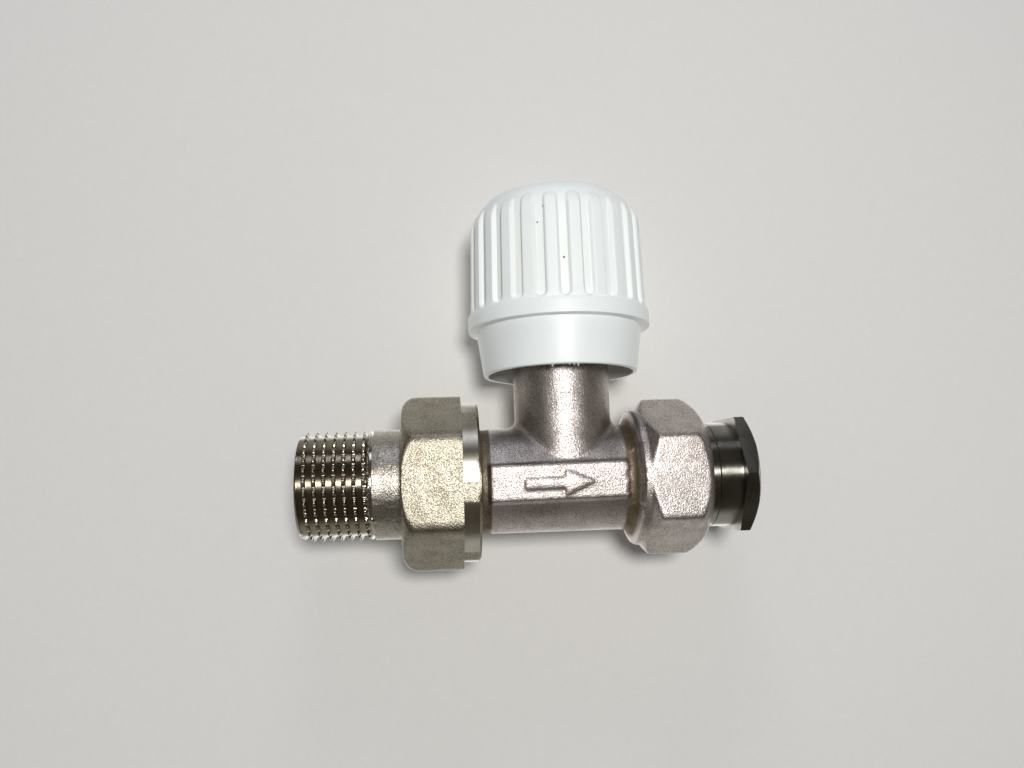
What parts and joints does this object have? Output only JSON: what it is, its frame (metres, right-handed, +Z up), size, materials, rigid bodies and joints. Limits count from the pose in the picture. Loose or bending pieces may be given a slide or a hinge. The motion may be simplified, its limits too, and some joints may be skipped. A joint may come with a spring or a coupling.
{
  "type": "radiator valve",
  "caption": "Straight hand-operated radiator valve: forged body with union tail, compression end for a 15 mm pipe and a ribbed white handwheel.",
  "frame": {"origin": "on the run's axis, at the first full turn of the tail's thread", "axes": "+X along the run from the radiator tail to the pipe end, +Z up along the stem to the handwheel, -Y is the front with the pad"},
  "size_m": [0.0872, 0.0366, 0.0749],
  "materials": {
    "nickel_forged": "satin",
    "nickel_nut": "satin",
    "gland_brass": "polished",
    "brass": "satin",
    "rubber": "matt",
    "steel": "satin",
    "white_abs": "matt",
    "fibre": "matt"
  },
  "bodies": {
    "valve_body": {"body": "nickel_forged", "bonnet": "brass", "bonnet_gasket": "fibre", "packing_washer": "brass", "packing_ring": "rubber", "packing_nut": "brass"},
    "disc_carrier": {"disc_holder": "brass", "swivel_clip": "steel", "disc_seal": "rubber", "disc_nut": "brass"},
    "handwheel_and_spindle": {"spindle": "brass", "spindle_o_ring": "rubber", "handwheel": "white_abs", "handwheel_screw": "steel", "handwheel_cap": "white_abs"},
    "tail": {"tailpiece": "nickel_forged", "tail_o_ring": "rubber"},
    "coupling_nut": {"union_nut": "nickel_nut"},
    "compression_ring": {"olive": "brass"},
    "compression_screw": {"gland_screw": "gland_brass"}
  },
  "joints": [
    {"name": "disc_lift", "type": "slide", "parent": "valve_body", "child": "disc_carrier", "axis": [0, 0, 1], "range_m": [0, 0.00376]},
    {"name": "handwheel_turn", "type": "hinge", "parent": "disc_carrier", "child": "handwheel_and_spindle", "pos_m": [0.0501, 0, 0], "axis": [0, 0, 1], "range_deg": [0, 900]},
    {"name": "tail_withdraw", "type": "slide", "parent": "valve_body", "child": "tail", "axis": [-1, 0, 0], "range_m": [0, 0.0082]},
    {"name": "union_nut_turn", "type": "hinge", "parent": "tail", "child": "coupling_nut", "pos_m": [0.025, 0, 0], "axis": [-1, 0, 0], "range_deg": [0, 1620]},
    {"name": "ring_travel", "type": "slide", "parent": "valve_body", "child": "compression_ring", "axis": [1, 0, 0], "range_m": [-0.00182, 0.00546]},
    {"name": "compression_screw_turn", "type": "hinge", "parent": "compression_ring", "child": "compression_screw", "pos_m": [0.08, 0, 0], "axis": [1, 0, 0], "range_deg": [-360, 1080]}
  ],
  "couplings": [
    {"joint": "disc_lift", "follows": "handwheel_turn", "m_per_rad": 0.00023873},
    {"joint": "tail_withdraw", "follows": "union_nut_turn", "m_per_rad": 0.00028871},
    {"joint": "ring_travel", "follows": "compression_screw_turn", "m_per_rad": 0.00028871}
  ]
}
